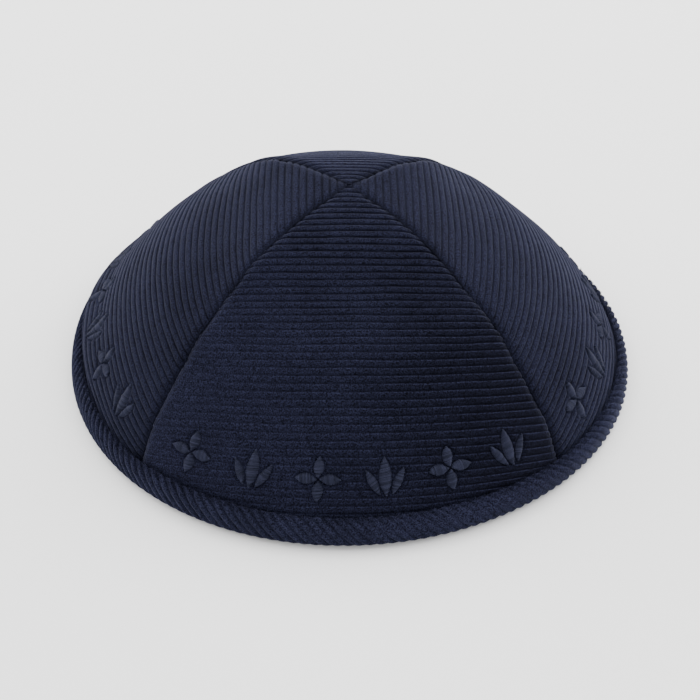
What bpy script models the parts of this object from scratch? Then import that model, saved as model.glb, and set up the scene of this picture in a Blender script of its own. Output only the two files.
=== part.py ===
"""A four-panel corduroy kippah: four ribbed wedges meeting at the crown, and a folded binding round the rim.

Metres, +Z up. The origin is the centre of the rim, on the surface that the kippah rests on.
The front of the cap faces -Y, and azimuth 0 is the front, counted towards +X.
"""

import math

import bmesh
import bpy
import numpy as np
from mathutils import Matrix

# Driving sizes
CROWN_ARC = 0.1140  # over the cloth, from the crown to the foot of the binding
CLOTH = 0.0022  # corduroy and its backing, with the wales
WALE_PITCH = 0.0023  # from rib to rib, about 11 to the inch
WALE_HEIGHT = 0.0008
SEAM_GAP = 0.0003  # between one panel and the next
SEAM_ROLL = 0.0022  # width over which the cloth turns down into a seam
SEAM_DIP = 0.0012  # how far the cloth has turned down at the seam
BINDING_WIDTH = 0.0086  # over the cloth, from the foot to the top of the fold
BINDING_OUTER = 0.0028  # the leaf that shows, a double fold of corduroy
BINDING_INNER = 0.0018
BINDING_FLOOR = 0.0022  # cloth of the fold under the panels' edge
FOLD_GAP = 0.0003  # between the panels and the binding
FACET_ROOM = 0.0006  # more room inside the fold, for the flats of a panel between two columns
FOOT_WIDTH = 0.0030  # flattened strip that the rim rests on
CROWN_LEAN = 0.051  # fall of the crown to one side, per metre
CROWN_LEAN_DEG = 16  # azimuth that it falls towards
CROWN_LEAN_REACH = 0.35  # share of the arc over which the lean fades

# Mesh steps
COVERED_ROWS = 3  # rows of a panel that its binding covers
INNER_STRIDE = 7  # rows of the outer face to each row of the inner one, above the panel's lower corners
MIDDLE_STEPS = 7  # columns between a panel's two rolled edges
RIM_STEPS = 60
OUTER_LEAF_STEPS = 4  # steps round the top of each leaf of the binding
INNER_LEAF_STEPS = 2
CURL_STEPS = 2  # steps round each lower corner of the binding
PROFILE_STEPS = 240
ROOT_STEPS = 40
TIP = 0.0009  # where a panel's rows start, beside the crown's centre
SHARP_DEG = 50  # the binding's edges sharper than this stay sharp

# Slope of the cloth down the middle of a panel
PROFILE = {
    "arc_share": (0.00, 0.08, 0.25, 0.45, 0.62, 0.78, 0.90, 1.00),
    "slope_deg": (0.0, 6.8, 26.7, 28.8, 43.3, 50.0, 62.3, 90.0),
}

# How square the cap is in plan at each level: 1 is a square with its corners at the seams, 0 is round
SQUARENESS = {
    "arc_share": (0.00, 0.12, 0.25, 0.40, 0.60, 0.80, 1.00),
    "square_share": (1.00, 0.75, 0.70, 0.32, 0.10, 0.07, 0.00),
}

# The ribs of a panel lie in planes that fan out from a level line under the crown. Its height, as a share of the
# cap's, for the ribs that cross the panel's middle at each level
FAN = {
    "arc_share": (0.00, 0.35, 0.50, 0.65, 0.80, 1.00),
    "height_share": (0.23, 0.23, 0.12, -0.15, -0.42, -0.45),
}

# The rim's outline in plan, as waves round the circle
RIM_WAVES = (
    {"waves": 2, "peak_deg": 63, "rim_share": 0.0096},
    {"waves": 3, "peak_deg": -32, "rim_share": 0.0110},
)

# Soft bulges (+) and dents (-) beside the seams
BULGES = (
    {"azimuth_deg": -45, "arc_share": 0.28, "rim_share": 0.015},
    {"azimuth_deg": -45, "arc_share": 0.52, "rim_share": 0.016},
    {"azimuth_deg": -45, "arc_share": 0.78, "rim_share": 0.006},
    {"azimuth_deg": 45, "arc_share": 0.52, "rim_share": 0.019},
    {"azimuth_deg": 135, "arc_share": 0.52, "rim_share": -0.008},
    {"azimuth_deg": -135, "arc_share": 0.52, "rim_share": -0.012},
    {"azimuth_deg": -135, "arc_share": 0.78, "rim_share": -0.007},
)
BULGE_SPREAD_DEG = 23
BULGE_SPREAD_SHARE = 0.13

# Each panel by the azimuth of its middle
PANELS = {"panel_front": 0, "panel_right": 90, "panel_back": 180, "panel_left": -90}

CORDUROY = {"color": (0.020, 0.026, 0.056, 1.0), "roughness": 0.92, "metallic": 0.0}
BINDING = {"color": (0.018, 0.022, 0.048, 1.0), "roughness": 0.92, "metallic": 0.0}

QUARTER = math.pi / 4
SQUARE_CORNER = math.sqrt(2)


def smooth_table(table, column, share):
    """The column of a table at these shares of the arc, as a smooth curve through its rows."""
    x = np.array(table["arc_share"])
    y = np.array(table[column])
    slopes = np.gradient(y, x)
    share = np.clip(share, x[0], x[-1])
    row = np.clip(np.searchsorted(x, share, side="right") - 1, 0, len(x) - 2)
    span = x[row + 1] - x[row]
    u = (share - x[row]) / span
    start = (1 + 2 * u) * (1 - u) ** 2 * y[row] + u * (1 - u) ** 2 * span * slopes[row]
    end = u * u * (3 - 2 * u) * y[row + 1] + u * u * (u - 1) * span * slopes[row + 1]
    return start + end


def middle_profile():
    """Arc length, slope, radius and height down the middle of a panel. The height ends at 0."""
    arc = np.linspace(0, CROWN_ARC, PROFILE_STEPS + 1)
    slope = np.radians(smooth_table(PROFILE, "slope_deg", arc / CROWN_ARC))
    step = np.diff(arc)
    middle_slope = (slope[1:] + slope[:-1]) / 2
    radius = np.concatenate([[0], np.cumsum(np.cos(middle_slope) * step)])
    drop = np.concatenate([[0], np.cumsum(np.sin(middle_slope) * step)])
    return arc, slope, radius, drop[-1] - drop


ARC, SLOPE, RADIUS, HEIGHT = middle_profile()
RIM_RADIUS = RADIUS[-1]


def side_radius(middle, corner, angle):
    """Plan radius at an angle from a panel's middle, on the arc from the middle radius to the corner radius."""
    half_chord = corner / SQUARE_CORNER
    bulge = np.maximum(middle - half_chord, 1e-9)
    side = (half_chord**2 + bulge**2) / (2 * bulge)
    centre = middle - side
    return centre * np.cos(angle) + np.sqrt(side**2 - (centre * np.sin(angle)) ** 2)


def turned(angle):
    """An angle brought between -pi and pi."""
    return (angle + math.pi) % (2 * math.pi) - math.pi


def cloth_point(arc, azimuth, out=0.0):
    """A point of the cap, by arc length from the crown, azimuth, and distance out from the cloth's face."""
    arc, azimuth, out = np.broadcast_arrays(arc, azimuth, out)
    share = arc / CROWN_ARC
    middle = np.interp(arc, ARC, RADIUS)
    square = smooth_table(SQUARENESS, "square_share", share)
    corner = middle * (1 + (SQUARE_CORNER - 1) * square)
    angle = (azimuth + QUARTER) % (2 * QUARTER) - QUARTER
    radius = side_radius(middle, corner, angle)
    for bulge in BULGES:
        across = turned(azimuth - math.radians(bulge["azimuth_deg"])) / math.radians(BULGE_SPREAD_DEG)
        along = (share - bulge["arc_share"]) / BULGE_SPREAD_SHARE
        radius = radius + bulge["rim_share"] * RIM_RADIUS * np.exp(-across**2 - along**2)
    for wave in RIM_WAVES:
        phase = wave["waves"] * (azimuth - math.radians(wave["peak_deg"]))
        radius = radius + wave["rim_share"] * RIM_RADIUS * share**2 * np.cos(phase)
    slope = np.interp(arc, ARC, SLOPE)
    fall = CROWN_LEAN * radius * np.cos(azimuth - math.radians(CROWN_LEAN_DEG))
    fall = fall * np.exp(-((share / CROWN_LEAN_REACH) ** 2))
    height = np.interp(arc, ARC, HEIGHT) - fall + out * np.cos(slope)
    radius = radius + out * np.sin(slope)
    return np.stack([radius * np.sin(azimuth), -radius * np.cos(azimuth), height], -1)


def rib_angle(point, panel, fan):
    """The angle from vertical of the plane through a point and the level line across the panel at a height."""
    outward = point[..., 0] * math.sin(panel) - point[..., 1] * math.cos(panel)
    return np.arctan2(outward, point[..., 2] - fan)


def fan_height(rib):
    """Height of the line that the plane of a rib passes through."""
    return HEIGHT[0] * smooth_table(FAN, "height_share", rib / CROWN_ARC)


def arc_on_rib(rib, azimuth, panel):
    """Arc length where the rib that crosses the panel's middle at arc length rib meets an azimuth."""
    fan = fan_height(rib)
    wanted = rib_angle(cloth_point(rib, panel), panel, fan)
    low = np.zeros(np.broadcast(rib, azimuth).shape)
    high = low + CROWN_ARC
    for _ in range(ROOT_STEPS):
        guess = (low + high) / 2
        short = rib_angle(cloth_point(guess, azimuth), panel, fan) < wanted
        low = np.where(short, guess, low)
        high = np.where(short, high, guess)
    return (low + high) / 2


PANEL_EDGE = CROWN_ARC - BINDING_FLOOR - FOLD_GAP


def row_end(ribs, panel, side):
    """Azimuth where each rib ends on one side (-1 or 1): at the seam or, lower down, at the panel's lower edge."""
    seam = panel + side * QUARTER
    radius = np.linalg.norm(cloth_point(arc_on_rib(ribs, seam, panel), seam)[..., :2], axis=-1)
    at_seam = QUARTER - np.arcsin(np.minimum(SEAM_GAP / 2 / radius, 0.7))
    fan = fan_height(ribs)
    wanted = rib_angle(cloth_point(ribs, panel), panel, fan)
    low, high = np.zeros(ribs.shape), at_seam
    for _ in range(ROOT_STEPS):
        guess = (low + high) / 2
        above = rib_angle(cloth_point(PANEL_EDGE, panel + side * guess), panel, fan) > wanted
        low, high = np.where(above, guess, low), np.where(above, high, guess)
    return panel + side * (low + high) / 2


def rib_rows():
    """Where each row of a panel crosses its middle, and how deep it lies below the crests of the wales.

    The rows that show are each wale's groove and crest. Those under the binding are pressed flat.
    """
    half = WALE_PITCH / 2
    shown = np.arange(1, math.ceil((CROWN_ARC - BINDING_WIDTH) / half) + 1)
    covered = np.linspace(shown[-1] * half, PANEL_EDGE, COVERED_ROWS + 1)[1:]
    covered[-1] -= half / 4
    rows = np.concatenate([[TIP], shown * half, covered])
    depths = np.concatenate([[WALE_HEIGHT], WALE_HEIGHT * (shown % 2), 0 * covered + WALE_HEIGHT / 2])
    return rows, depths


def grid_faces(corners):
    """The quads between the rows of a grid of vertices."""
    return [
        (above[i], above[i + 1], below[i + 1], below[i])
        for above, below in zip(corners, corners[1:])
        for i in range(len(above) - 1)
    ]


def panel_columns(left, right, radius):
    """Azimuths across each row: its two ends, the inner side of each seam's roll, and even steps between."""
    roll = np.minimum(SEAM_ROLL / radius, (right - left) / (MIDDLE_STEPS + 2))
    inner_left, inner_right = left + roll, right - roll
    share = np.linspace(0, 1, MIDDLE_STEPS + 1)
    middle = inner_left[:, None] + (inner_right - inner_left)[:, None] * share
    return np.column_stack([left, middle, right])


def panel_mesh(name, panel):
    """One corduroy wedge: a ribbed outer face, a plain inner face, and the edges between them."""
    ribs, depths = rib_rows()
    left, right = row_end(ribs, panel, -1), row_end(ribs, panel, 1)
    radius = np.linalg.norm(cloth_point(ribs, panel)[..., :2], axis=-1)
    azimuths = panel_columns(left, right, radius)
    arcs = np.minimum(arc_on_rib(ribs[:, None], azimuths, panel), PANEL_EDGE)
    corner = min(np.argmin(left), np.argmax(right))
    out = np.repeat(-depths[:, None], azimuths.shape[1], axis=1)
    out[: corner + 1, [0, -1]] = -SEAM_DIP
    inner_rows = [*range(0, corner, INNER_STRIDE), *range(corner, len(ribs))]

    mesh = bmesh.new()
    outer = [[mesh.verts.new(p) for p in row] for row in cloth_point(arcs, azimuths, out)]
    inner_points = cloth_point(arcs[inner_rows], azimuths[inner_rows], -CLOTH)
    inner = [[mesh.verts.new(p) for p in row] for row in inner_points]
    faces = grid_faces(outer)
    faces += [tuple(reversed(face)) for face in grid_faces(inner)]
    for above, below, start, end in zip(inner, inner[1:], inner_rows, inner_rows[1:]):
        left_side = [row[0] for row in outer[start : end + 1]]
        right_side = [row[-1] for row in outer[start : end + 1]]
        faces.append((*left_side, below[0], above[0]))
        faces.append((*reversed(right_side), above[-1], below[-1]))
    for i in range(len(outer[0]) - 1):
        faces.append((outer[0][i + 1], outer[0][i], inner[0][i], inner[0][i + 1]))
        faces.append((outer[-1][i], outer[-1][i + 1], inner[-1][i + 1], inner[-1][i]))
    for face in faces:
        mesh.faces.new(face)
    return finish_mesh(name, mesh)


def rounded(centre, radii, start_deg, end_deg, steps):
    """Points of an elliptic arc, as (arc length up from the foot, distance out)."""
    angles = np.radians(np.linspace(start_deg, end_deg, steps + 1))
    return [(centre[0] + radii[0] * math.sin(a), centre[1] + radii[1] * math.cos(a)) for a in angles]


def binding_section():
    """The fold's section, as (arc length up from the foot, distance out, on the ground or not), all the way round."""
    slot_out = FOLD_GAP
    slot_in = -CLOTH - FOLD_GAP - FACET_ROOM
    face, back = slot_out + BINDING_OUTER, slot_in - BINDING_INNER
    outer_half, inner_half = BINDING_OUTER / 2, BINDING_INNER / 2
    foot_middle = (face + back) / 2
    foot_out, foot_in = foot_middle + FOOT_WIDTH / 2, foot_middle - FOOT_WIDTH / 2
    cap = (BINDING_WIDTH - outer_half, slot_out + outer_half)
    section = rounded(cap, (outer_half, outer_half), 180, 0, OUTER_LEAF_STEPS)
    section = [(up, out, False) for up, out in section]
    corner = rounded((BINDING_FLOOR, foot_out), (-BINDING_FLOOR, face - foot_out), 0, 90, CURL_STEPS)
    section += [(up, out, up <= 0) for up, out in corner]
    corner = rounded((BINDING_FLOOR, foot_in), (-BINDING_FLOOR, back - foot_in), 90, 0, CURL_STEPS)
    section += [(up, out, up <= 0) for up, out in corner]
    cap = (BINDING_WIDTH - inner_half, slot_in - inner_half)
    inner_leaf = rounded(cap, (inner_half, inner_half), 180, 0, INNER_LEAF_STEPS)
    section += [(up, out, False) for up, out in inner_leaf]
    section += [(BINDING_FLOOR, slot_in, False), (BINDING_FLOOR, slot_out, False)]
    return section


def binding_mesh(name):
    """The rim's binding: one closed ring, folded in a U round the panels' lower edges."""
    azimuths = np.linspace(0, 2 * math.pi, RIM_STEPS, endpoint=False)
    mesh = bmesh.new()
    rings = []
    for up, out, grounded in binding_section():
        points = cloth_point(CROWN_ARC - up, azimuths, out)
        if grounded:
            points[:, 2] = 0
        rings.append([mesh.verts.new(p) for p in points])
    for ring, following in zip(rings, rings[1:] + rings[:1]):
        for i in range(RIM_STEPS):
            j = (i + 1) % RIM_STEPS
            mesh.faces.new((ring[i], ring[j], following[j], following[i]))
    return finish_mesh(name, mesh)


def finish_mesh(name, mesh):
    """A named object from a bmesh, with its faces pointing out."""
    bmesh.ops.recalc_face_normals(mesh, faces=mesh.faces)
    data = bpy.data.meshes.new(name)
    mesh.to_mesh(data)
    mesh.free()
    piece = bpy.data.objects.new(name, data)
    bpy.context.scene.collection.objects.link(piece)
    return piece


def material(name, look):
    """A Principled BSDF with a cloth's colour, roughness and metallic value."""
    made = bpy.data.materials.new(name)
    made.use_nodes = True
    shader = made.node_tree.nodes["Principled BSDF"]
    shader.inputs["Base Color"].default_value = look["color"]
    shader.inputs["Roughness"].default_value = look["roughness"]
    shader.inputs["Metallic"].default_value = look["metallic"]
    return made


def centre_pieces(pieces, rim):
    """Bring the middle of the rim's box, seen from above, over the origin."""
    corners = np.array([rim.bound_box[0], rim.bound_box[6]])
    shift = -(corners[0] + corners[1]) / 2
    for piece in pieces:
        piece.data.transform(Matrix.Translation((shift[0], shift[1], 0)))


def main():
    for old in list(bpy.data.objects):
        bpy.data.objects.remove(old)
    panels = [panel_mesh(name, math.radians(azimuth_deg)) for name, azimuth_deg in PANELS.items()]
    rim = binding_mesh("rim_binding")
    for panel in panels:
        panel.data.materials.append(material(panel.name, CORDUROY))
    rim.data.materials.append(material(rim.name, BINDING))
    rim.data.shade_smooth()
    rim.data.set_sharp_from_angle(angle=math.radians(SHARP_DEG))
    centre_pieces([*panels, rim], rim)


main()
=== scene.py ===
"""The finished look of the corduroy kippah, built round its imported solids.

Metres, in the solids' frame: the rim rests on the floor at Z 0, and the front faces -Y. Azimuth 0 is the
front, counted towards +X. The sizes and tables of the shape are those of the part's source.
"""

import math

import bpy
import numpy as np
from mathutils import Matrix, Vector

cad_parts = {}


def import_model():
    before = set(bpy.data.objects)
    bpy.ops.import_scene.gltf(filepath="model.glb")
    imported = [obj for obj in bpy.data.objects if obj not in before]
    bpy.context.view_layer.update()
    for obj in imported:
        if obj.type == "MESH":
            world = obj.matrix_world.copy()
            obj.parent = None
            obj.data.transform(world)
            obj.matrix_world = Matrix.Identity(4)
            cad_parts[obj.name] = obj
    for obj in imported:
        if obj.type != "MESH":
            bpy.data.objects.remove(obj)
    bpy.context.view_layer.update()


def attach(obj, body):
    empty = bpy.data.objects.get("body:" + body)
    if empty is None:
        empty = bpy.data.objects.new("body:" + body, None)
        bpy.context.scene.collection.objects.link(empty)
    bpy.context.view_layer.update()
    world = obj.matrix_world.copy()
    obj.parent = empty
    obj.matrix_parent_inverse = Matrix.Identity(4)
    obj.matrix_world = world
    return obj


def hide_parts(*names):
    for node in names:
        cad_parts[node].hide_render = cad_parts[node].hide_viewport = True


# The cap's shape, as in the part's source
CROWN_ARC = 0.1140
CLOTH = 0.0022
WALE_PITCH = 0.0023
BINDING_WIDTH = 0.0086
BINDING_OUTER = 0.0028
BINDING_INNER = 0.0018
BINDING_FLOOR = 0.0022
FOLD_GAP = 0.0003
FACET_ROOM = 0.0006
FOOT_WIDTH = 0.0030
CROWN_LEAN = 0.051
CROWN_LEAN_DEG = 16
CROWN_LEAN_REACH = 0.35
PROFILE = {
    "arc_share": (0.00, 0.08, 0.25, 0.45, 0.62, 0.78, 0.90, 1.00),
    "slope_deg": (0.0, 6.8, 26.7, 28.8, 43.3, 50.0, 62.3, 90.0),
}
SQUARENESS = {
    "arc_share": (0.00, 0.12, 0.25, 0.40, 0.60, 0.80, 1.00),
    "square_share": (1.00, 0.75, 0.70, 0.32, 0.10, 0.07, 0.00),
}
FAN = {
    "arc_share": (0.00, 0.35, 0.50, 0.65, 0.80, 1.00),
    "height_share": (0.23, 0.23, 0.12, -0.15, -0.42, -0.45),
}
RIM_WAVES = (
    {"waves": 2, "peak_deg": 63, "rim_share": 0.0096},
    {"waves": 3, "peak_deg": -32, "rim_share": 0.0110},
)
BULGES = (
    {"azimuth_deg": -45, "arc_share": 0.28, "rim_share": 0.015},
    {"azimuth_deg": -45, "arc_share": 0.52, "rim_share": 0.016},
    {"azimuth_deg": -45, "arc_share": 0.78, "rim_share": 0.006},
    {"azimuth_deg": 45, "arc_share": 0.52, "rim_share": 0.019},
    {"azimuth_deg": 135, "arc_share": 0.52, "rim_share": -0.008},
    {"azimuth_deg": -135, "arc_share": 0.52, "rim_share": -0.012},
    {"azimuth_deg": -135, "arc_share": 0.78, "rim_share": -0.007},
)
BULGE_SPREAD_DEG = 23
BULGE_SPREAD_SHARE = 0.13
PANELS = {"panel_front": 0, "panel_right": 90, "panel_back": 180, "panel_left": -90}

# How the pile lies on each panel. crown and rim: how far it is brushed over the grooves there, where 1 hides
# them. left: how much further towards the panel's left seam, and less far towards the right one. edge: how
# strong the painted highlight is along the upper edge of each wale, where the pile tips catch the light.
# dark: how much painted shade darkens the cloth towards the rim, at the left seam and at the right one, where
# the nap turns from the light
PILE = {
    "panel_front": {"crown": 0.10, "rim": 0.60, "left": 0.27, "edge": 0.50, "dark": (0.00, 0.50)},
    "panel_right": {"crown": 0.40, "rim": 0.18, "left": 0.00, "edge": 0.18, "dark": (0.00, 0.00)},
    "panel_back": {"crown": 0.35, "rim": 0.30, "left": 0.00, "edge": 0.30, "dark": (0.00, 0.00)},
    "panel_left": {"crown": 0.25, "rim": 0.08, "left": 0.00, "edge": 0.18, "dark": (0.10, 0.10)},
}
PILE_FROM = 0.15  # share of the arc where the pile begins to turn from the crown's lie to the rim's
PILE_SPREAD = 0.45  # share of the arc that this takes
BRUSHED_MOST = 0.92
DARK_FROM = -0.3  # where the painted shade of the right side sets in, from -1 at the left seam to 1 at the right one
DARK_SPREAD = 1.1
EDGE_SHARE = 0.67  # where the painted highlight line runs, as a share of the pitch
EDGE_WIDTH = 0.07
EDGE_TO_LEFT = 1.2  # how strongly a panel's left changes its painted highlight lines too

# The panels, finer than the solids
WALE_SHARES = (0.00, 0.22, 0.33, 0.40, 0.46, 0.54, 0.60, 0.67, 0.78)  # rows of a wale, close about its groove
COLUMNS = 190
COLUMN_SPREAD = 0.85  # below 1, the columns stand closer towards the seams
INNER_ROW_STRIDE = 9
INNER_COLUMN_STRIDE = 5
WALE_RELIEF = 0.00038  # depth of the grooves that show
GROOVE_SHARPNESS = 8  # 2 is a plain wave, more makes the grooves narrow and the wales broad
GROOVE_TONE = 0.7  # below 1, a shallow groove has more of the grooves' painted shade
COVER_FADE = 0.002  # from the binding's upper edge down to where the cloth is wholly under it
COVERED_FLAT = 0.6  # how far the wales are flattened there
PRESSED_FLAT = 0.7  # and under the stitches
PROUD_MOST = 0.0002  # how far the cloth may stand out of the solids' face, but for the puff
SEAM_ROLL = 0.0012  # width over which the cloth turns down into a seam
SEAM_ROLL_SHAPE = 1.5  # 2 is a bell curve, less turns down more sharply
SEAM_DIP = 0.0010  # added to the wales' relief at the seam
SEAM_LAP = 0.0002  # how far two panels press into each other at a seam, which closes the solids' gap
LAP_SINE_MOST = 0.7  # keeps the lap's angle within bounds near the tip
TIP = 0.0003  # arc length left out at the crown, where a panel's ribs would be points
TIP_EASE = 0.0080  # arc length over which the seams sink and the wales wander
LAST_ROW_ROOM = 0.00012  # from a panel's last row to its lower edge
PUFF = 0.0026  # how far the cloth puffs out over the binding, on the left
PUFF_AZIMUTH_DEG = -103
PUFF_SPREAD_DEG = 25
PUFF_CREST = 0.0026  # from the binding's upper edge to where the puff is fullest
PUFF_HEIGHT = 0.0100  # from there to where it ends
PROFILE_STEPS = 400
ROOT_STEPS = 24
LEAST_BULGE = 1e-9  # of a panel's side in plan, so that it's an arc everywhere

# Unevenness: its amount, and the size of its bumps along and across the wales, in metres or in wales
SEED = 11
WALE_DRIFT = {"amount": 0.08, "along": 0.011, "across": 3.0}  # how far they wander, as a share of the pitch
WALE_HEIGHTS = (
    {"amount": 0.16, "along": 0.0060, "across": 1.0},
    {"amount": 0.22, "along": 0.0022, "across": 0.6},
)
DENTS = {"amount": 0.00022, "along": 0.018, "across": 0.014}
PUCKER = {"amount": 0.25, "along": 1.3, "across": 1.0}  # of the seams' dip, wale by wale
BINDING_FULLNESS = {"amount": 0.35, "along": 1.0, "across": 0.004}  # of its wales' relief
BINDING_RAGGED = {"amount": 0.4, "along": 0.4, "across": 1.0}  # of its notches

# The binding
BIAS_DEG = 45  # between the binding's wales and the rim
BINDING_WALES = 178
STEPS_PER_BINDING_WALE = 7
BINDING_RELIEF = 0.0007
BINDING_ROUNDNESS = 0.7  # 1 is a plain arch, less makes the wales fuller and their grooves narrower
BINDING_FULL = 0.0020  # thickness of the outer leaf at which the wales have their full relief
BINDING_SHOWN_FROM = 0.0001  # distance out where the wales set in
BINDING_SHOWN_SPREAD = 0.0008
BINDING_FOOT_EASE = 0.0006  # height above the floor over which they set in
BINDING_NOTCH = 0.0007  # how far its upper edge drops at a groove
BINDING_PINCH = 0.0010  # thickness of the binding's outer leaf where it is sewn down, at its upper edge
BINDING_SWELL = 0.0034  # height over which it swells from there to its full thickness
SWELL_STEPS = 9
BINDING_SHOULDER_DEG = 40  # how steeply it leaves the upper edge
BINDING_BRUSHED = 0.7  # how far its pile hides the grooves where it is brushed most
BINDING_BRUSHED_FLAT = 0.8  # and how far that flattens them
BRUSHED_AZIMUTH_DEG = 28  # where it is brushed most
BRUSHED_SPREAD_DEG = 38
BRUSHED_FROM = 0.0015  # height above the floor where the brushing sets in
BRUSHED_RISE = 0.0020

# The loose fibres along the binding's upper edge
FUZZ_COUNT = 8000
FUZZ_LENGTH = 0.0013
FUZZ_SHORTEST = 0.4  # as a share of that
FUZZ_WIDTH = 0.00014
FUZZ_TIP_SHARE = 0.4  # width of a fibre's tip, as a share of that
FUZZ_LEAN = 0.7  # how far they lean away from straight out
FUZZ_ROOT = 0.0003  # how deep they are rooted
FUZZ_FIRST, FUZZ_LAST = 2.0, 8.0  # the points of the binding's section between which they stand
OUTWARD_STEP = 0.001  # distance over which straight out is measured

# The stitched ornaments
ORNAMENTS_PER_PANEL = 6
ORNAMENT_SPREAD_DEG = 68  # from the first ornament of a panel to the last
ORNAMENT_RISE = 0.0105  # from the binding's top to an ornament's middle
THREAD = 0.00022  # radius
THREAD_SIDES = 5
THREAD_SUNK_BELOW = -0.1  # the sine of the angle below which a thread's side is in the cloth
STITCH_STEP = 0.00042
STITCH_POINTS = 6
STITCH_SINK = 0.0008  # how deep a stitch's ends are in the cloth
STITCH_RISE = 0.0002  # how far its middle stands out
STITCH_ARCH = 0.5  # 1 is a plain arch over the cloth, less makes it flatter on top
STITCH_SLANT = 0.06  # as a share of a leaf's width
STITCH_PRESS = 0.0006  # how far the cloth is pressed in under the stitches
PRESS_EDGE = 0.0007  # how far beyond the stitches
PRESS_FADE = 0.3  # share of that reach over which the cloth comes back
END_SCATTER = 0.00005  # how far the ends of a stitch stray
RISE_SCATTER = 0.00004
LEAF_FULLNESS = 0.75  # 1 is a plain arch on each side of a leaf, less makes its ends blunter
FLOWER = (
    {"x": 0.0, "y": 0.0034, "turn_deg": 0, "length": 0.0058, "width": 0.0034},
    {"x": 0.0, "y": -0.0034, "turn_deg": 0, "length": 0.0058, "width": 0.0034},
    {"x": 0.0034, "y": 0.0, "turn_deg": 90, "length": 0.0058, "width": 0.0034},
    {"x": -0.0034, "y": 0.0, "turn_deg": 90, "length": 0.0058, "width": 0.0034},
)
BUD = (
    {"x": 0.0, "y": 0.0005, "turn_deg": 0, "length": 0.0112, "width": 0.0038},
    {"x": 0.0036, "y": -0.0010, "turn_deg": -28, "length": 0.0080, "width": 0.0026},
    {"x": -0.0036, "y": -0.0010, "turn_deg": 28, "length": 0.0080, "width": 0.0026},
)

# The looks. Colours are linear
SHADE_BLACK = (0.0, 0.0, 0.0, 1)
# The valley colours are painted shade in the grooves and seams
WALE_COLOUR, VALLEY_SHADE_COLOUR = (0.0068, 0.0074, 0.0160, 1), (0.0012, 0.0013, 0.0027, 1)
# The binding's cloth is the panels' corduroy painted lighter, which is painted light
BIAS_PAINTED_LIGHT_WALE_COLOUR, BIAS_VALLEY_SHADE_COLOUR = (0.0100, 0.0108, 0.0226, 1), (0.0038, 0.0042, 0.0083, 1)
INSIDE_COLOUR = (0.0060, 0.0065, 0.0100, 1)
THREAD_DARK, THREAD_LIGHT = (0.0112, 0.0126, 0.0245, 1), (0.0225, 0.0245, 0.0465, 1)
GRAIN_DARK, GRAIN_LIGHT = (0.14, 0.14, 0.14, 1), (1.95, 1.95, 1.95, 1)  # the pile's speckle
PATCH_LIGHT = 1.7  # how many times lighter the colour is that pale patches are mixed with
PATCH_SHARE = 0.25  # the most of it that they take
EDGE_HIGHLIGHT = 2.3  # how many times lighter the painted highlight along a wale's upper edge is
GROOVE_RAGGED = (0.35, 1.25)  # how much of its painted shade a groove has from speck to speck
NOISE_RANGE = (0.35, 0.65)  # where nearly all of a noise texture's values are
SPECKLE = {"scale": 2600, "detail": 4}
PATCHES = {"scale": 65, "detail": 2}
PILE_BUMP = {"Strength": 0.5, "Distance": 0.00035}
PILE_SURFACE = {
    "Roughness": 0.95,
    "Specular IOR Level": 0.03,
    "Sheen Weight": 0.13,
    "Sheen Roughness": 0.32,
    "Sheen Tint": (0.52, 0.55, 0.85, 1),
}
THREAD_SURFACE = {"Roughness": 0.65, "Specular IOR Level": 0.06}
FLOOR_SURFACE = {"Base Color": (0.9, 0.9, 0.9, 1), "Roughness": 0.8}
SURROUND = {"Color": (1, 1, 1, 1), "Strength": 0.9}
FLOOR_REACH = 20.0  # from its middle to each side
LIGHTS = (
    {"name": "left_softbox", "place": (-1.0, 0.55, 0.66), "size": 1.4, "power": 31.5},
    {"name": "right_softbox", "place": (1.0, 0.55, 0.66), "size": 1.4, "power": 36.5},
    {"name": "top_softbox", "place": (0.0, 0.5, 1.1), "size": 1.2, "power": 13.0},
    {"name": "front_fill", "place": (0.0, -1.4, 0.45), "size": 1.0, "power": 9.0},
)

# The camera, from a fit to the photograph. Angles are in radians
CAMERA_DISTANCE = 0.4599
CAMERA_ELEVATION = 0.677
CAMERA_FOCAL_SHARE = 1417.5 / 700  # of the frame's width
CAMERA_AIM = (0.00091, -0.00408, 0.00326)
CAMERA_YAW = 0.025
CAMERA_ROLL = 0.012
SENSOR_WIDTH = 36.0  # millimetres
CLIP_START = 0.01

QUARTER = math.pi / 4  # from a panel's middle to its seam, half a quarter turn
SQUARE_CORNER = math.sqrt(2)


def smooth_table(table, column, share):
    """The column of a table at these shares of the arc, as a smooth curve through its rows."""
    x = np.array(table["arc_share"])
    y = np.array(table[column])
    slopes = np.gradient(y, x)
    share = np.clip(share, x[0], x[-1])
    row = np.clip(np.searchsorted(x, share, side="right") - 1, 0, len(x) - 2)
    span = x[row + 1] - x[row]
    u = (share - x[row]) / span
    start = (1 + 2 * u) * (1 - u) ** 2 * y[row] + u * (1 - u) ** 2 * span * slopes[row]
    end = u * u * (3 - 2 * u) * y[row + 1] + u * u * (u - 1) * span * slopes[row + 1]
    return start + end


def middle_profile():
    """Arc length, slope, radius and height down the middle of a panel. The height ends at 0."""
    arc = np.linspace(0, CROWN_ARC, PROFILE_STEPS + 1)
    slope = np.radians(smooth_table(PROFILE, "slope_deg", arc / CROWN_ARC))
    step = np.diff(arc)
    middle_slope = (slope[1:] + slope[:-1]) / 2
    radius = np.concatenate([[0], np.cumsum(np.cos(middle_slope) * step)])
    drop = np.concatenate([[0], np.cumsum(np.sin(middle_slope) * step)])
    return arc, slope, radius, drop[-1] - drop


ARC, SLOPE, RADIUS, HEIGHT = middle_profile()
RIM_RADIUS = RADIUS[-1]
PANEL_EDGE = CROWN_ARC - BINDING_FLOOR - FOLD_GAP
BINDING_FACE = FOLD_GAP + BINDING_OUTER
ORNAMENT_ARC = CROWN_ARC - BINDING_WIDTH - ORNAMENT_RISE


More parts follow.
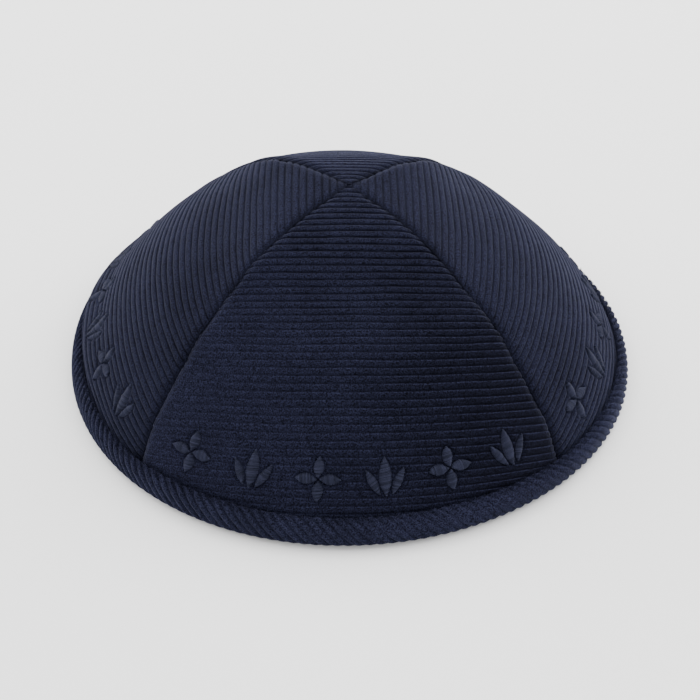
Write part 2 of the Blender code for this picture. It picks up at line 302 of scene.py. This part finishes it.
def side_radius(middle, corner, angle):
    """Plan radius at an angle from a panel's middle. The side is an arc through its middle and corners."""
    half_chord = corner / SQUARE_CORNER
    bulge = np.maximum(middle - half_chord, LEAST_BULGE)
    side = (half_chord**2 + bulge**2) / (2 * bulge)
    centre = middle - side
    return centre * np.cos(angle) + np.sqrt(side**2 - (centre * np.sin(angle)) ** 2)


def turned(angle):
    """An angle brought between -pi and pi."""
    return (angle + math.pi) % (2 * math.pi) - math.pi


def cap_point(arc, azimuth, out=0.0):
    """A point of the cap before it is centred, by arc length, azimuth and distance out from the cloth."""
    arc, azimuth, out = np.broadcast_arrays(arc, azimuth, out)
    share = arc / CROWN_ARC
    middle = np.interp(arc, ARC, RADIUS)
    square = smooth_table(SQUARENESS, "square_share", share)
    corner = middle * (1 + (SQUARE_CORNER - 1) * square)
    angle = (azimuth + QUARTER) % (2 * QUARTER) - QUARTER
    radius = side_radius(middle, corner, angle)
    for bulge in BULGES:
        across = turned(azimuth - math.radians(bulge["azimuth_deg"])) / math.radians(BULGE_SPREAD_DEG)
        along = (share - bulge["arc_share"]) / BULGE_SPREAD_SHARE
        radius = radius + bulge["rim_share"] * RIM_RADIUS * np.exp(-across**2 - along**2)
    for wave in RIM_WAVES:
        phase = wave["waves"] * (azimuth - math.radians(wave["peak_deg"]))
        radius = radius + wave["rim_share"] * RIM_RADIUS * share**2 * np.cos(phase)
    slope = np.interp(arc, ARC, SLOPE)
    fall = CROWN_LEAN * radius * np.cos(azimuth - math.radians(CROWN_LEAN_DEG))
    fall = fall * np.exp(-((share / CROWN_LEAN_REACH) ** 2))
    height = np.interp(arc, ARC, HEIGHT) - fall + out * np.cos(slope)
    radius = radius + out * np.sin(slope)
    return np.stack([radius * np.sin(azimuth), -radius * np.cos(azimuth), height], -1)


def rim_shift():
    """What brings the middle of the rim's box, seen from above, over the origin."""
    rim = cap_point(CROWN_ARC - BINDING_WIDTH / 2, np.radians(np.arange(0, 360, 6)), BINDING_FACE)
    shift = -(rim.min(0) + rim.max(0)) / 2
    return np.array([shift[0], shift[1], 0])


SHIFT = rim_shift()


def cloth_point(arc, azimuth, out=0.0):
    """A point of the cap in the solids' frame."""
    return cap_point(arc, azimuth, out) + SHIFT


def rib_angle(point, panel, fan):
    """The angle from vertical of the plane through a point and the panel's level line at height fan."""
    outward = point[..., 0] * math.sin(panel) - point[..., 1] * math.cos(panel)
    return np.arctan2(outward, point[..., 2] - fan)


def fan_height(rib):
    """Height of the line that the plane of a rib passes through."""
    return HEIGHT[0] * smooth_table(FAN, "height_share", rib / CROWN_ARC)


def arc_on_rib(rib, azimuth, panel):
    """Arc length where the rib that crosses the panel's middle at arc length rib meets an azimuth."""
    fan = fan_height(rib)
    wanted = rib_angle(cap_point(rib, panel), panel, fan)
    low = np.zeros(np.broadcast(rib, azimuth).shape)
    high = low + CROWN_ARC
    for _ in range(ROOT_STEPS):
        guess = (low + high) / 2
        short = rib_angle(cap_point(guess, azimuth), panel, fan) < wanted
        low = np.where(short, guess, low)
        high = np.where(short, high, guess)
    return (low + high) / 2


def row_end(ribs, panel, side):
    """Azimuth where each rib ends on one side (-1 or 1): at the seam or, lower down, at the lower edge."""
    seam = panel + side * QUARTER
    radius = np.linalg.norm(cap_point(arc_on_rib(ribs, seam, panel), seam)[..., :2], axis=-1)
    at_seam = QUARTER + np.arcsin(np.minimum(SEAM_LAP / 2 / radius, LAP_SINE_MOST))
    fan = fan_height(ribs)
    wanted = rib_angle(cap_point(ribs, panel), panel, fan)
    low, high = np.zeros(ribs.shape), at_seam
    for _ in range(ROOT_STEPS):
        guess = (low + high) / 2
        above = rib_angle(cap_point(PANEL_EDGE, panel + side * guess), panel, fan) > wanted
        low, high = np.where(above, guess, low), np.where(above, high, guess)
    return panel + side * (low + high) / 2


def smooth_rise(share):
    """0 below share 0, 1 above share 1, and smooth between."""
    share = np.clip(share, 0, 1)
    return share * share * (3 - 2 * share)


def smooth_noise(rng, x, y, cell_x, cell_y):
    """Smooth noise between -1 and 1 over a plane, with bumps of about one cell."""
    x, y = np.broadcast_arrays(x / cell_x, y / cell_y)
    column, row = np.floor(x).astype(int), np.floor(y).astype(int)
    u, v = smooth_rise(x - column), smooth_rise(y - row)
    column, row = column - column.min(), row - row.min()
    grid = rng.uniform(-1, 1, (row.max() + 2, column.max() + 2))
    top = grid[row, column] * (1 - u) + grid[row, column + 1] * u
    bottom = grid[row + 1, column] * (1 - u) + grid[row + 1, column + 1] * u
    return top * (1 - v) + bottom * v


def unevenness(rng, kind, along, across):
    """One kind of unevenness, at these distances along and across the wales."""
    return kind["amount"] * smooth_noise(rng, along, across, kind["along"], kind["across"])


def puffed(arc, azimuth):
    """How far the cloth puffs out over the binding."""
    above = CROWN_ARC - BINDING_WIDTH - arc
    across = turned(azimuth - math.radians(PUFF_AZIMUTH_DEG)) / math.radians(PUFF_SPREAD_DEG)
    rise = smooth_rise(above / PUFF_CREST) * (1 - smooth_rise((above - PUFF_CREST) / PUFF_HEIGHT))
    return PUFF * np.exp(-(across**2)) * rise


def placed(name, data):
    """A new object of the scene."""
    made = bpy.data.objects.new(name, data)
    bpy.context.scene.collection.objects.link(made)
    return made


def mesh_piece(name, points, faces, look, values=None):
    """A smooth mesh piece with its material, under the root body. values holds named numbers for each vertex.
    """
    data = bpy.data.meshes.new(name)
    data.from_pydata(points.tolist(), [], faces)
    for label, numbers in (values or {}).items():
        layer = data.attributes.new(label, "FLOAT", "POINT")
        layer.data.foreach_set("value", np.ravel(numbers).astype(np.float32))
    data.shade_smooth()
    data.materials.append(look)
    piece = placed(name, data)
    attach(piece, "root")
    return piece


def grid_faces(ids):
    """The quads between the rows of a grid of vertex numbers."""
    quads = np.stack([ids[:-1, :-1], ids[:-1, 1:], ids[1:, 1:], ids[1:, :-1]], -1)
    return quads.reshape(-1, 4)


def every(count, stride):
    """Every so many of a count of rows, with the last one."""
    return np.array([*range(0, count - 1, stride), count - 1])


def ornament_row():
    """Each ornament of a panel: its leaves, and its azimuth from the panel's middle."""
    spread = np.radians(np.linspace(-ORNAMENT_SPREAD_DEG / 2, ORNAMENT_SPREAD_DEG / 2, ORNAMENTS_PER_PANEL))
    return [((FLOWER, BUD)[k % 2], offset) for k, offset in enumerate(spread)]


def pressed_cloth(arcs, offsets, radius):
    """How far the stitches press the cloth, by arc length and azimuth from the panel's middle."""
    pressed = np.zeros(arcs.shape)
    for leaves, offset in ornament_row():
        x, y = (offsets - offset) * radius, ORNAMENT_ARC - arcs
        for leaf in leaves:
            turn = math.radians(leaf["turn_deg"])
            across = (x - leaf["x"]) * math.cos(turn) + (y - leaf["y"]) * math.sin(turn)
            along = (y - leaf["y"]) * math.cos(turn) - (x - leaf["x"]) * math.sin(turn)
            half_width = leaf["width"] / 2 + PRESS_EDGE
            half_length = leaf["length"] / 2 + PRESS_EDGE
            reach = np.hypot(across / half_width, along / half_length)
            pressed = np.maximum(pressed, np.clip((1 - reach) / PRESS_FADE, 0, 1))
    return pressed


def panel_grid(panel):
    """Each rib's arc length down a panel's middle, and the arc length and azimuth of each point on them."""
    wales = np.arange(math.ceil(PANEL_EDGE / WALE_PITCH))
    ribs = ((wales[:, None] + np.array(WALE_SHARES)) * WALE_PITCH).ravel()
    ribs = ribs[(ribs > TIP) & (ribs < PANEL_EDGE)]
    ribs[-1] = PANEL_EDGE - LAST_ROW_ROOM
    left, right = row_end(ribs, panel, -1), row_end(ribs, panel, 1)
    share = np.linspace(-1, 1, COLUMNS + 1)
    share = np.sign(share) * np.abs(share) ** COLUMN_SPREAD
    azimuths = (left + right)[:, None] / 2 + (right - left)[:, None] / 2 * share
    arcs = np.minimum(arc_on_rib(ribs[:, None], azimuths, panel), PANEL_EDGE)
    return ribs[:, None], arcs, azimuths


def pile_lie(pile, arcs, side, wale, pressed):
    """How the pile lies at each point: how far it is brushed, its painted nap shade, and its painted
    highlight lines.

    side goes from -1 at the panel's left seam to 1 at the right one.
    """
    lower = smooth_rise((arcs / CROWN_ARC - PILE_FROM) / PILE_SPREAD)
    brushed = pile["crown"] + (pile["rim"] - pile["crown"] - pile["left"] * side) * lower
    brushed = np.clip(brushed, 0, BRUSHED_MOST)
    # Painted shade: the cloth darkens towards the rim, by a different amount at each seam, where the nap
    # turns from the light
    dark_left, dark_right = pile["dark"]
    darker = (dark_right - dark_left) * smooth_rise((side - DARK_FROM) / DARK_SPREAD)
    dark = (dark_left + darker) * lower
    # A painted highlight: a thin light line along the upper edge of each wale, where the brushed pile tips
    # catch the light
    highlight_line = np.exp(-(((wale % 1 - EDGE_SHARE) / EDGE_WIDTH) ** 2))
    light = pile["edge"] * (1 + EDGE_TO_LEFT * pile["left"] * side) * lower * (1 - pressed) * highlight_line
    return brushed, dark, light


def panel_outside(name, panel, rng):
    """Arc length, azimuth and distance out of each point of a panel's outer face, and its named numbers."""
    ribs, arcs, azimuths = panel_grid(panel)
    radius = np.linalg.norm(cap_point(arcs, azimuths)[..., :2], axis=-1)
    along = radius * (azimuths - panel)
    wale = ribs / WALE_PITCH
    covered = np.clip((arcs - (CROWN_ARC - BINDING_WIDTH)) / COVER_FADE, 0, 1)
    eased = smooth_rise(arcs / TIP_EASE)
    arcs = arcs + unevenness(rng, WALE_DRIFT, along, wale) * eased * (1 - covered) * WALE_PITCH
    height = 1
    for kind in WALE_HEIGHTS:
        height = height + unevenness(rng, kind, along, wale)
    groove = np.abs(np.sin(math.pi * wale)) ** GROOVE_SHARPNESS
    pressed = pressed_cloth(arcs, azimuths - panel, radius)
    side = (azimuths - panel) / QUARTER
    brushed, dark, light = pile_lie(PILE[name], arcs, side, wale, pressed)
    depth = WALE_RELIEF * height * groove * (1 - COVERED_FLAT * covered)
    depth = depth * (1 - PRESSED_FLAT * pressed) * (1 - brushed)
    dents = unevenness(rng, DENTS, along, ribs)
    to_seam = radius * (QUARTER - np.abs(azimuths - panel))
    roll = np.exp(-((np.maximum(to_seam, 0) / SEAM_ROLL) ** SEAM_ROLL_SHAPE))
    pucker = 1 + unevenness(rng, PUCKER, wale, 0.0)
    out = -depth + dents * (1 - covered) - SEAM_DIP * roll * pucker * eased - STITCH_PRESS * pressed
    out = np.minimum(out, PROUD_MOST * (1 - covered)) + puffed(arcs, azimuths)
    # Painted shade: the grooves darken with their depth, and the seams darken where the cloth rolls into
    # them, for shade with crushed pile
    tone = np.maximum((depth / WALE_RELIEF) ** GROOVE_TONE, roll**2)
    return arcs, azimuths, out, {"groove": tone, "edge": light, "nap_shade": dark}


def panel_faces(outer_ids, inner_ids, rows, columns):
    """The faces of a panel. rows and columns are those of the outer grid that the inner one has too."""
    faces = grid_faces(outer_ids).tolist() + grid_faces(inner_ids)[:, ::-1].tolist()
    for k, (a, b) in enumerate(zip(rows, rows[1:])):
        faces.append([*outer_ids[a : b + 1, 0], inner_ids[k + 1, 0], inner_ids[k, 0]])
        faces.append([*outer_ids[a : b + 1, -1][::-1], inner_ids[k, -1], inner_ids[k + 1, -1]])
    for k, (a, b) in enumerate(zip(columns, columns[1:])):
        faces.append([*outer_ids[0, a : b + 1][::-1], inner_ids[0, k], inner_ids[0, k + 1]])
        faces.append([*outer_ids[-1, a : b + 1], inner_ids[-1, k + 1], inner_ids[-1, k]])
    return faces


def panel_piece(name, panel, look, rng):
    """One corduroy wedge: a ribbed outer face, a plain inner face and the edges between them."""
    arcs, azimuths, out, values = panel_outside(name, panel, rng)
    rows, columns = every(arcs.shape[0], INNER_ROW_STRIDE), every(arcs.shape[1], INNER_COLUMN_STRIDE)
    outer = cloth_point(arcs, azimuths, out)
    inner = cloth_point(arcs, azimuths, -CLOTH)[np.ix_(rows, columns)]
    outer_ids = np.arange(arcs.size).reshape(arcs.shape)
    inner_ids = arcs.size + np.arange(len(rows) * len(columns)).reshape(len(rows), len(columns))
    points = np.vstack([outer.reshape(-1, 3), inner.reshape(-1, 3)])
    plain = np.zeros(inner_ids.size)
    values = {label: np.concatenate([numbers.ravel(), plain]) for label, numbers in values.items()}
    values["inside"] = np.concatenate([np.zeros(outer_ids.size), plain + 1])
    faces = panel_faces(outer_ids, inner_ids, rows, columns)
    piece = mesh_piece(name + "_corduroy", points, faces, look, values)
    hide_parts(name)


def rounded(centre, radii, start_deg, end_deg, steps):
    """Points of an elliptic arc, as (arc length up from the foot, distance out)."""
    angles = np.radians(np.linspace(start_deg, end_deg, steps + 1))
    return [(centre[0] + radii[0] * math.sin(a), centre[1] + radii[1] * math.cos(a)) for a in angles]


def straight(start, end, steps):
    """Points along a line, without its ends."""
    shares = np.linspace(0, 1, steps + 1)[1:-1]
    return [(start[0] + (end[0] - start[0]) * s, start[1] + (end[1] - start[1]) * s) for s in shares]


def binding_section():
    """The fold's section, as (arc length up from the foot, distance out), all the way round."""
    slot_in = -CLOTH - FOLD_GAP - FACET_ROOM
    back = slot_in - BINDING_INNER
    inner_half = BINDING_INNER / 2
    foot_middle = (BINDING_FACE + back) / 2
    foot_out, foot_in = foot_middle + FOOT_WIDTH / 2, foot_middle - FOOT_WIDTH / 2
    lip = BINDING_PINCH / 2
    section = rounded((BINDING_WIDTH - lip, FOLD_GAP + lip), (lip, lip), 180, BINDING_SHOULDER_DEG, steps=5)
    start = section[-1]
    for share in np.linspace(0, 1, SWELL_STEPS + 1)[1:]:
        swell = math.sin(math.pi / 2 * share)
        section.append((start[0] - BINDING_SWELL * share, start[1] + (BINDING_FACE - start[1]) * swell))
    corner = rounded((BINDING_FLOOR, foot_out), (-BINDING_FLOOR, BINDING_FACE - foot_out), 0, 90, steps=6)
    section += straight(section[-1], corner[0], steps=4) + corner
    corner = rounded((BINDING_FLOOR, foot_in), (-BINDING_FLOOR, back - foot_in), 90, 0, steps=6)
    section += straight(section[-1], corner[0], steps=3) + corner
    cap_middle = (BINDING_WIDTH - inner_half, slot_in - inner_half)
    cap = rounded(cap_middle, (inner_half, inner_half), 180, 0, steps=5)
    section += straight(section[-1], cap[0], steps=5) + cap
    section += [(BINDING_FLOOR, slot_in), (BINDING_FLOOR, FOLD_GAP)]
    return np.array(section)


def section_normals(section):
    """The unit vector out of the cloth at each point of a closed section."""
    edge_in = np.roll(section, -1, 0) - np.roll(section, 1, 0)
    normal = np.stack([edge_in[:, 1], -edge_in[:, 0]], -1)
    return normal / np.linalg.norm(normal, axis=1)[:, None]


def binding_piece(look, rng):
    """The rim's binding: a ring folded in a U round the panels' edges, with its wales on the bias."""
    section = binding_section()
    closed = np.vstack([section, section[:1]])
    path = np.concatenate([[0], np.cumsum(np.linalg.norm(np.diff(closed, axis=0), axis=1))])[:-1]
    foot = path[np.argmin(section[:, 0])]
    lean = np.interp(path, [0, foot, path[-1]], [0, foot, 0]) / math.tan(math.radians(BIAS_DEG)) / RIM_RADIUS
    count = BINDING_WALES * STEPS_PER_BINDING_WALE
    straight_azimuths = np.linspace(0, 2 * math.pi, count, endpoint=False)
    wale = np.broadcast_to(straight_azimuths * BINDING_WALES / (2 * math.pi), (len(section), count))
    azimuths = straight_azimuths + lean[:, None]
    plain_up, plain_out = section[:, :1], section[:, 1:]

    groove = 1 - np.abs(np.sin(math.pi * wale)) ** BINDING_ROUNDNESS
    fullness = 1 + unevenness(rng, BINDING_FULLNESS, wale, path[:, None])
    thick = np.clip((plain_out - FOLD_GAP) / BINDING_FULL, 0, 1)
    shown = np.clip((plain_out - BINDING_SHOWN_FROM) / BINDING_SHOWN_SPREAD, 0, 1)
    shown = shown * np.clip(plain_up / BINDING_FOOT_EASE, 0, 1)
    from_brushed = turned(azimuths - math.radians(BRUSHED_AZIMUTH_DEG)) / math.radians(BRUSHED_SPREAD_DEG)
    face = smooth_rise((plain_up - BRUSHED_FROM) / BRUSHED_RISE)
    brushed = BINDING_BRUSHED * np.exp(-(from_brushed**2)) * face
    depth = BINDING_RELIEF * groove * fullness * (thick * shown) * (1 - BINDING_BRUSHED_FLAT * brushed)
    lip = np.clip((plain_up - BINDING_WIDTH) / BINDING_NOTCH / 2 + 1, 0, 1)
    ragged = np.clip(groove + unevenness(rng, BINDING_RAGGED, wale, 0.0), 0, 1)
    normal = section_normals(section)
    up = plain_up - normal[:, :1] * depth - BINDING_NOTCH * ragged * lip
    out = plain_out - normal[:, 1:] * depth
    points = cloth_point(CROWN_ARC - up, azimuths, out)
    points[..., 2] = np.maximum(points[..., 2], 0)

    ids = np.arange(points.shape[0] * count).reshape(points.shape[:2])
    ids = np.vstack([ids, ids[:1]])
    ids = np.column_stack([ids, ids[:, :1]])
    faces = grid_faces(ids)[:, ::-1].tolist()
    # Painted shade in the binding's grooves, less where its pile is brushed flat
    values = {
        "groove": groove * shown * (1 - brushed),
        "inside": np.repeat(plain_out < -CLOTH, count, axis=1),
    }
    piece = mesh_piece("rim_binding_corduroy", points.reshape(-1, 3), faces, look, values)
    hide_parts("rim_binding")


def fuzz_piece(look, rng):
    """Loose fibres along the binding's upper edge, each a flat blade of two triangles."""
    section = binding_section()
    normal = section_normals(section)
    azimuth = rng.uniform(0, 2 * math.pi, FUZZ_COUNT)
    place = rng.uniform(FUZZ_FIRST, FUZZ_LAST, FUZZ_COUNT)
    up, out = (np.interp(place, np.arange(len(section)), section[:, k]) for k in (0, 1))
    rise, reach = (np.interp(place, np.arange(len(section)), normal[:, k]) * OUTWARD_STEP for k in (0, 1))
    roots = cloth_point(CROWN_ARC - up, azimuth, out)
    heads = cloth_point(CROWN_ARC - up - rise, azimuth, out + reach)
    away = (heads - roots) / np.linalg.norm(heads - roots, axis=1)[:, None]
    lean = rng.normal(0, FUZZ_LEAN, roots.shape)
    # None leans into the cloth
    lean -= away * np.minimum((lean * away).sum(1), 0)[:, None]
    path = away + lean
    path /= np.linalg.norm(path, axis=1)[:, None]
    length = rng.uniform(FUZZ_SHORTEST, 1.0, (FUZZ_COUNT, 1)) * FUZZ_LENGTH
    side = np.cross(path, rng.normal(0, 1, roots.shape))
    side *= FUZZ_WIDTH / 2 / np.linalg.norm(side, axis=1)[:, None]
    roots = roots - away * FUZZ_ROOT
    tips = roots + path * length
    corners = [roots - side, roots + side, tips + side * FUZZ_TIP_SHARE, tips - side * FUZZ_TIP_SHARE]
    points = np.stack(corners, 1).reshape(-1, 3)
    faces = np.arange(len(points)).reshape(-1, 4).tolist()
    mesh_piece("rim_binding_fuzz", points, faces, look)


def stitches(leaf):
    """The two ends of each stitch across one satin leaf, in the ornament's plane."""
    count = round(leaf["length"] / STITCH_STEP)
    along = (np.arange(count) + 0.5) / count
    half = leaf["width"] / 2 * np.sin(math.pi * along) ** LEAF_FULLNESS
    y = (along - 0.5) * leaf["length"]
    turn = math.radians(leaf["turn_deg"])
    cos, sin = math.cos(turn), math.sin(turn)
    ends = []
    for side in (-1, 1):
        x = side * half
        slant = y + side * leaf["width"] * STITCH_SLANT
        ends.append(np.stack([leaf["x"] + x * cos - slant * sin, leaf["y"] + x * sin + slant * cos], -1))
    return ends[0], ends[1]


def ornament(leaves, azimuth, first, rng):
    """One satin-stitched ornament: its threads' points, faces and tones, and the number after its last point.

    first is the number of its first point.
    """
    points, faces, tones = [], [], []
    radius = float(np.linalg.norm(cap_point(ORNAMENT_ARC, azimuth)[:2]))
    for leaf in leaves:
        starts, ends = stitches(leaf)
        starts = starts + rng.normal(0, END_SCATTER, starts.shape)
        ends = ends + rng.normal(0, END_SCATTER, ends.shape)
        share = np.linspace(0, 1, STITCH_POINTS)
        plane = starts[:, None] * (1 - share)[:, None] + ends[:, None] * share[:, None]
        arch = np.sin(math.pi * share)
        lift = -STITCH_SINK + (STITCH_SINK + STITCH_RISE) * arch**STITCH_ARCH
        across = (ends - starts) / np.linalg.norm(ends - starts, axis=1)[:, None]
        side = np.stack([-across[:, 1], across[:, 0]], -1)
        turn = np.arange(THREAD_SIDES) * 2 * math.pi / THREAD_SIDES
        ring = plane[:, :, None] + side[:, None, None] * (THREAD * np.cos(turn))[:, None]
        lift = lift + rng.normal(0, RISE_SCATTER, (len(starts), 1))
        sunk = np.sin(turn) < THREAD_SUNK_BELOW
        raised = np.where(sunk, -STITCH_SINK, lift[:, :, None] + THREAD * np.sin(turn))
        arcs, azimuths = ORNAMENT_ARC - ring[..., 1], azimuth + ring[..., 0] / radius
        tube = cloth_point(arcs, azimuths, raised + puffed(arcs, azimuths))
        for k in range(len(starts)):
            ids = first + np.arange(STITCH_POINTS * THREAD_SIDES).reshape(STITCH_POINTS, THREAD_SIDES)
            ids = np.column_stack([ids, ids[:, :1]])
            faces += grid_faces(ids).tolist()
            points.append(tube[k].reshape(-1, 3))
            tones.append(np.full(STITCH_POINTS * THREAD_SIDES, rng.uniform(0, 1)))
            first += STITCH_POINTS * THREAD_SIDES
    return np.vstack(points), faces, np.concatenate(tones), first


def ornaments_piece(name, panel, look, rng):
    """The row of stitched ornaments of one panel, as one piece."""
    points, faces, tones, first = [], [], [], 0
    for leaves, offset in ornament_row():
        made, quads, tone, first = ornament(leaves, panel + offset, first, rng)
        points.append(made)
        faces += quads
        tones.append(tone)
    values = {"tone": np.concatenate(tones)}
    mesh_piece(name + "_stitched_ornaments", np.vstack(points), faces, look, values)


def node(tree, kind, **settings):
    """A new shader node with these settings."""
    made = tree.nodes.new(kind)
    for key, value in settings.items():
        setattr(made, key, value)
    return made


def set_inputs(made, values):
    """Sets a node's named inputs."""
    for label, value in values.items():
        made.inputs[label].default_value = value


def mixed(tree, share, first, second, blend="MIX"):
    """A mix of two colours, the node's inputs 6 and 7. Each input is a socket or a value."""
    mix = node(tree, "ShaderNodeMix", data_type="RGBA", blend_type=blend)
    for socket, value in ((mix.inputs[0], share), (mix.inputs[6], first), (mix.inputs[7], second)):
        if isinstance(value, bpy.types.NodeSocket):
            tree.links.new(value, socket)
        else:
            socket.default_value = value
    return mix.outputs[2]


def mapped(tree, value, *ends):
    """A value moved from one range to another. The four ends are the old range's and the new one's."""
    ranged = node(tree, "ShaderNodeMapRange")
    tree.links.new(value, ranged.inputs[0])
    for k, number in enumerate(ends):
        ranged.inputs[k + 1].default_value = number
    return ranged.outputs[0]


def noise_texture(tree, place, kind):
    """Noise over the object's own coordinates."""
    made = node(tree, "ShaderNodeTexNoise")
    set_inputs(made, {"Scale": kind["scale"], "Detail": kind["detail"]})
    tree.links.new(place, made.inputs["Vector"])
    return made.outputs["Fac"]


def vertex_value(tree, label):
    """A piece's named number, which is 0 where it has none."""
    return node(tree, "ShaderNodeAttribute", attribute_name=label).outputs["Fac"]


def lighter(colour, times):
    """A colour this many times lighter."""
    return (*[channel * times for channel in colour[:3]], 1)


def new_material(name, surface):
    """A material, its node tree and its shader, with these inputs set."""
    made = bpy.data.materials.new(name)
    made.use_nodes = True
    shader = made.node_tree.nodes["Principled BSDF"]
    set_inputs(shader, surface)
    return made, made.node_tree, shader


def cloth_material(name, wale, valley_shade):
    """Cut-pile corduroy: a colour for the wales and one for the grooves, which is painted shade, with painted
    shade at the seams and towards the rim, painted highlights along the wales' upper edges and a fine speckle
    of pile.
    """
    made, tree, shader = new_material(name, PILE_SURFACE)
    place = node(tree, "ShaderNodeTexCoord").outputs["Object"]
    speckle = noise_texture(tree, place, SPECKLE)
    patches = noise_texture(tree, place, PATCHES)
    groove, edge = vertex_value(tree, "groove"), vertex_value(tree, "edge")
    nap_shade, inside = vertex_value(tree, "nap_shade"), vertex_value(tree, "inside")

    # Painted shade in the grooves and seams, ragged from speck to speck
    ragged = node(tree, "ShaderNodeMath", operation="MULTIPLY", use_clamp=True)
    tree.links.new(groove, ragged.inputs[0])
    tree.links.new(mapped(tree, speckle, *NOISE_RANGE, *GROOVE_RAGGED), ragged.inputs[1])
    colour = mixed(tree, ragged.outputs[0], wale, valley_shade)
    patchy = mapped(tree, patches, *NOISE_RANGE, 0.0, PATCH_SHARE)
    colour = mixed(tree, patchy, colour, lighter(wale, PATCH_LIGHT))
    # Painted nap shade
    colour = mixed(tree, nap_shade, colour, SHADE_BLACK)
    # Painted highlight lines along the wales' upper edges
    colour = mixed(tree, edge, colour, lighter(wale, EDGE_HIGHLIGHT))
    tuft = mapped(tree, speckle, *NOISE_RANGE, 0.0, 1.0)
    colour = mixed(tree, 1.0, colour, mixed(tree, tuft, GRAIN_DARK, GRAIN_LIGHT), "MULTIPLY")
    colour = mixed(tree, inside, colour, INSIDE_COLOUR)
    tree.links.new(colour, shader.inputs["Base Color"])

    bump = node(tree, "ShaderNodeBump")
    set_inputs(bump, PILE_BUMP)
    tree.links.new(speckle, bump.inputs["Height"])
    tree.links.new(bump.outputs["Normal"], shader.inputs["Normal"])
    return made


def thread_material():
    """Rayon thread, a little lighter and glossier than the cloth. Each stitch has its own tone."""
    made, tree, shader = new_material("embroidery_thread", THREAD_SURFACE)
    colour = mixed(tree, vertex_value(tree, "tone"), THREAD_DARK, THREAD_LIGHT)
    tree.links.new(colour, shader.inputs["Base Color"])
    return made


def studio():
    """A pale floor, a pale surround and four broad soft lights."""
    floor_data = bpy.data.meshes.new("floor")
    corners = [(x * FLOOR_REACH, y * FLOOR_REACH, 0) for x, y in ((-1, -1), (1, -1), (1, 1), (-1, 1))]
    floor_data.from_pydata(corners, [], [(0, 1, 2, 3)])
    floor = placed("floor", floor_data)
    white, _, _ = new_material("floor_white", FLOOR_SURFACE)
    floor_data.materials.append(white)
    world = bpy.context.scene.world or bpy.data.worlds.new("surround")
    bpy.context.scene.world = world
    world.use_nodes = True
    set_inputs(world.node_tree.nodes["Background"], SURROUND)
    for light in LIGHTS:
        data = bpy.data.lights.new(light["name"], "AREA")
        data.size = light["size"]
        data.energy = light["power"]
        lamp = placed(light["name"], data)
        lamp.location = light["place"]
        lamp.rotation_euler = (-Vector(light["place"])).to_track_quat("-Z", "Y").to_euler()


def camera():
    """The camera at the photograph's place: aimed along +Y and down, then turned and rolled as fitted."""
    data = bpy.data.cameras.new("photo_camera")
    data.sensor_width = SENSOR_WIDTH
    data.lens = CAMERA_FOCAL_SHARE * data.sensor_width
    data.clip_start = CLIP_START
    aim_x, aim_y, aim_z = CAMERA_AIM
    place = Vector((aim_x, -CAMERA_DISTANCE * math.cos(CAMERA_ELEVATION), aim_z))
    place.z += CAMERA_DISTANCE * math.sin(CAMERA_ELEVATION)
    tilt = Matrix.Rotation(math.pi / 2 - CAMERA_ELEVATION, 4, "X")
    turn = Matrix.Rotation(-CAMERA_YAW, 4, "Z")
    roll = Matrix.Rotation(CAMERA_ROLL, 4, "Z")
    move = Matrix.Translation((SHIFT[0], aim_y + SHIFT[1], 0))
    made = placed("photo_camera", data)
    made.matrix_world = move @ turn @ Matrix.Translation(place) @ tilt @ roll
    bpy.context.scene.camera = made


def main():
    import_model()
    rng = np.random.default_rng(SEED)
    cloth = cloth_material("navy_corduroy", WALE_COLOUR, VALLEY_SHADE_COLOUR)
    # The binding and its fuzz take a copy of the corduroy painted lighter, as painted light
    painted_lighter_bias_cloth = cloth_material("navy_corduroy_on_the_bias_painted_lighter", BIAS_PAINTED_LIGHT_WALE_COLOUR, BIAS_VALLEY_SHADE_COLOUR)
    thread = thread_material()
    for name, azimuth_deg in PANELS.items():
        panel_piece(name, math.radians(azimuth_deg), cloth, rng)
        ornaments_piece(name, math.radians(azimuth_deg), thread, rng)
    binding_piece(painted_lighter_bias_cloth, rng)
    fuzz_piece(painted_lighter_bias_cloth, rng)
    studio()
    camera()


main()
